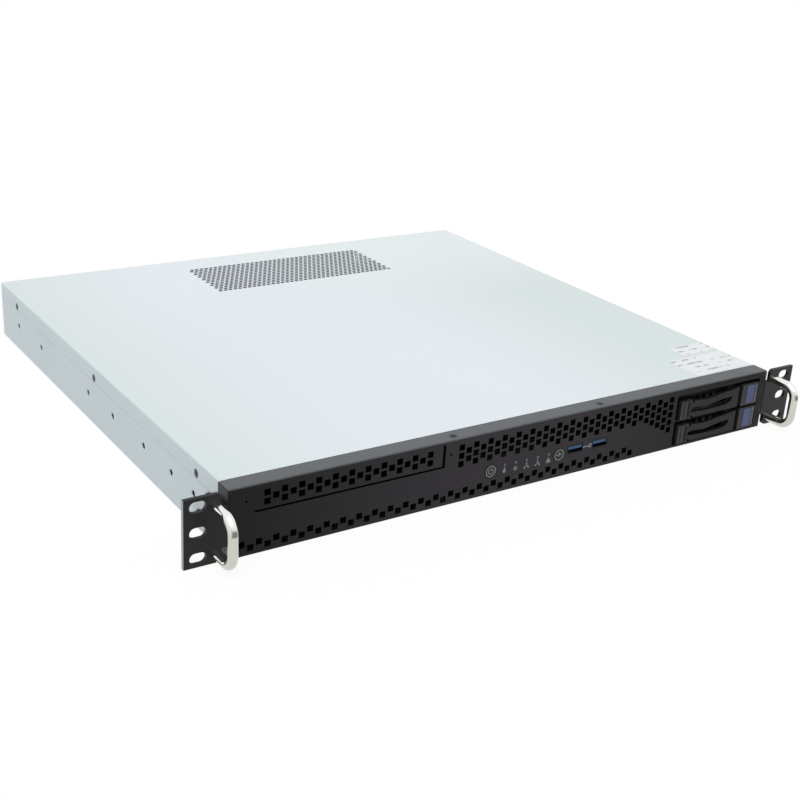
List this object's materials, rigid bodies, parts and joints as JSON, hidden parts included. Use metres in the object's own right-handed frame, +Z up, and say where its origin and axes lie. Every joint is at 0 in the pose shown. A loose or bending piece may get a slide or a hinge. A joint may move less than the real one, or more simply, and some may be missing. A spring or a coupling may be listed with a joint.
{
  "type": "1u rack server",
  "caption": "One-unit rack server with rack ears and handles, a perforated front bezel, hot-swap drive trays, a lift-off cover, fans, main board and power supply.",
  "frame": {"origin": "centre of the pan's underside, half way between the bezel's face and the rear wall", "axes": "+X to the right of a person facing the bezel, +Y from the front to the rear, +Z up"},
  "size_m": [0.4826, 0.4321, 0.0436],
  "materials": {
    "case_steel": "pale satin coating on pressed steel",
    "bezel_black": "black powder coat",
    "plated_steel": "zinc-plated sheet",
    "ear_black": "black powder coat",
    "handle_chrome": "polished chrome",
    "screw_black": "black oxide",
    "screw_steel": "bright zinc",
    "control_black": "fine-grained moulding",
    "board_green": "solder resist on glass epoxy",
    "light_clear": "clear moulding",
    "usb_blue": "moulded",
    "fan_black": "glass-filled moulding",
    "sink_aluminium": "extruded fins",
    "connector_white": "moulded nylon",
    "tray_grey": "grained moulding",
    "latch_blue": "moulded",
    "drive_metal": "cast and stamped cover",
    "brass": "turned"
  },
  "bodies": {
    "chassis": {"base_pan": "case_steel", "front_bezel": "bezel_black", "front_rail": "plated_steel", "slim_bay_cover": "bezel_black", "slim_bay_bracket": "plated_steel", "right_ear": "ear_black", "left_ear": "ear_black", "right_handle": "handle_chrome", "left_handle": "handle_chrome", "handle_screws": "screw_black", "ear_screws": "screw_black", "bezel_screws": "screw_black", "control_board": "control_black", "control_bracket": "plated_steel", "status_light_pipes": "light_clear", "front_usb_shells": "screw_black", "front_usb_tongues": "usb_blue", "drive_cage": "plated_steel", "backplane": "board_green", "backplane_sockets": "fan_black", "fan_bracket": "plated_steel", "fan_housings": "fan_black", "motherboard": "board_green", "board_standoffs": "brass", "board_screws": "screw_steel", "processor_socket": "screw_steel", "processor_heatsink": "sink_aluminium", "chipset_heatsink": "sink_aluminium", "memory_slots": "fan_black", "memory_modules": "board_green", "board_connectors": "connector_white", "io_shield": "plated_steel", "network_ports": "plated_steel", "rear_usb_ports": "plated_steel", "video_port": "plated_steel", "riser_card": "board_green", "slot_cover": "plated_steel", "psu_case": "plated_steel", "psu_inlet": "fan_black", "psu_fan_housing": "fan_black"},
    "cover": {"top_cover": "case_steel", "cover_screws": "screw_black"},
    "power_button": {"power_button": "control_black"},
    "id_button": {"id_button": "control_black"},
    "lower_tray": {"lower_tray_frame": "tray_grey", "lower_lever_pin": "screw_steel", "lower_light_pipe": "light_clear", "lower_drive": "drive_metal"},
    "lower_lever": {"lower_tray_lever": "tray_grey"},
    "lower_latch": {"lower_tray_latch": "latch_blue"},
    "upper_tray": {"upper_tray_frame": "tray_grey", "upper_lever_pin": "screw_steel", "upper_light_pipe": "light_clear", "upper_drive": "drive_metal"},
    "upper_lever": {"upper_tray_lever": "tray_grey"},
    "upper_latch": {"upper_tray_latch": "latch_blue"},
    "left_fan": {"left_fan_rotor": "fan_black"},
    "middle_fan": {"middle_fan_rotor": "fan_black"},
    "right_fan": {"right_fan_rotor": "fan_black"},
    "psu_fan": {"psu_fan_rotor": "fan_black"}
  },
  "joints": [
    {"name": "cover_lift", "type": "slide", "parent": "chassis", "child": "cover", "axis": [0, 0, 1], "range_m": [0, 0.06]},
    {"name": "power_press", "type": "slide", "parent": "chassis", "child": "power_button", "axis": [0, 1, 0], "range_m": [0, 0.001], "stiffness_N_per_m": 600},
    {"name": "id_press", "type": "slide", "parent": "chassis", "child": "id_button", "axis": [0, 1, 0], "range_m": [0, 0.001], "stiffness_N_per_m": 600},
    {"name": "lower_tray_slide", "type": "slide", "parent": "chassis", "child": "lower_tray", "axis": [0, -1, 0], "range_m": [0, 0.115]},
    {"name": "lower_lever_swing", "type": "hinge", "parent": "lower_tray", "child": "lower_lever", "pos_m": [0.1394, -0.2006, 0.0103], "axis": [0, 0, -1], "range_deg": [0, 65]},
    {"name": "lower_latch_press", "type": "slide", "parent": "lower_tray", "child": "lower_latch", "axis": [0, 1, 0], "range_m": [0, 0.002], "stiffness_N_per_m": 500},
    {"name": "upper_tray_slide", "type": "slide", "parent": "chassis", "child": "upper_tray", "axis": [0, -1, 0], "range_m": [0, 0.115]},
    {"name": "upper_lever_swing", "type": "hinge", "parent": "upper_tray", "child": "upper_lever", "pos_m": [0.1394, -0.2006, 0.0283], "axis": [0, 0, -1], "range_deg": [0, 65]},
    {"name": "upper_latch_press", "type": "slide", "parent": "upper_tray", "child": "upper_latch", "axis": [0, 1, 0], "range_m": [0, 0.002], "stiffness_N_per_m": 500},
    {"name": "left_fan_spin", "type": "hinge", "parent": "chassis", "child": "left_fan", "pos_m": [-0.028, -0.06, 0.0216], "axis": [0, 1, 0], "continuous": true},
    {"name": "middle_fan_spin", "type": "hinge", "parent": "chassis", "child": "middle_fan", "pos_m": [0.02, -0.06, 0.0216], "axis": [0, 1, 0], "continuous": true},
    {"name": "right_fan_spin", "type": "hinge", "parent": "chassis", "child": "right_fan", "pos_m": [0.068, -0.06, 0.0216], "axis": [0, 1, 0], "continuous": true},
    {"name": "psu_fan_spin", "type": "hinge", "parent": "chassis", "child": "psu_fan", "pos_m": [-0.186, 0.19, 0.0215], "axis": [0, 1, 0], "continuous": true}
  ]
}
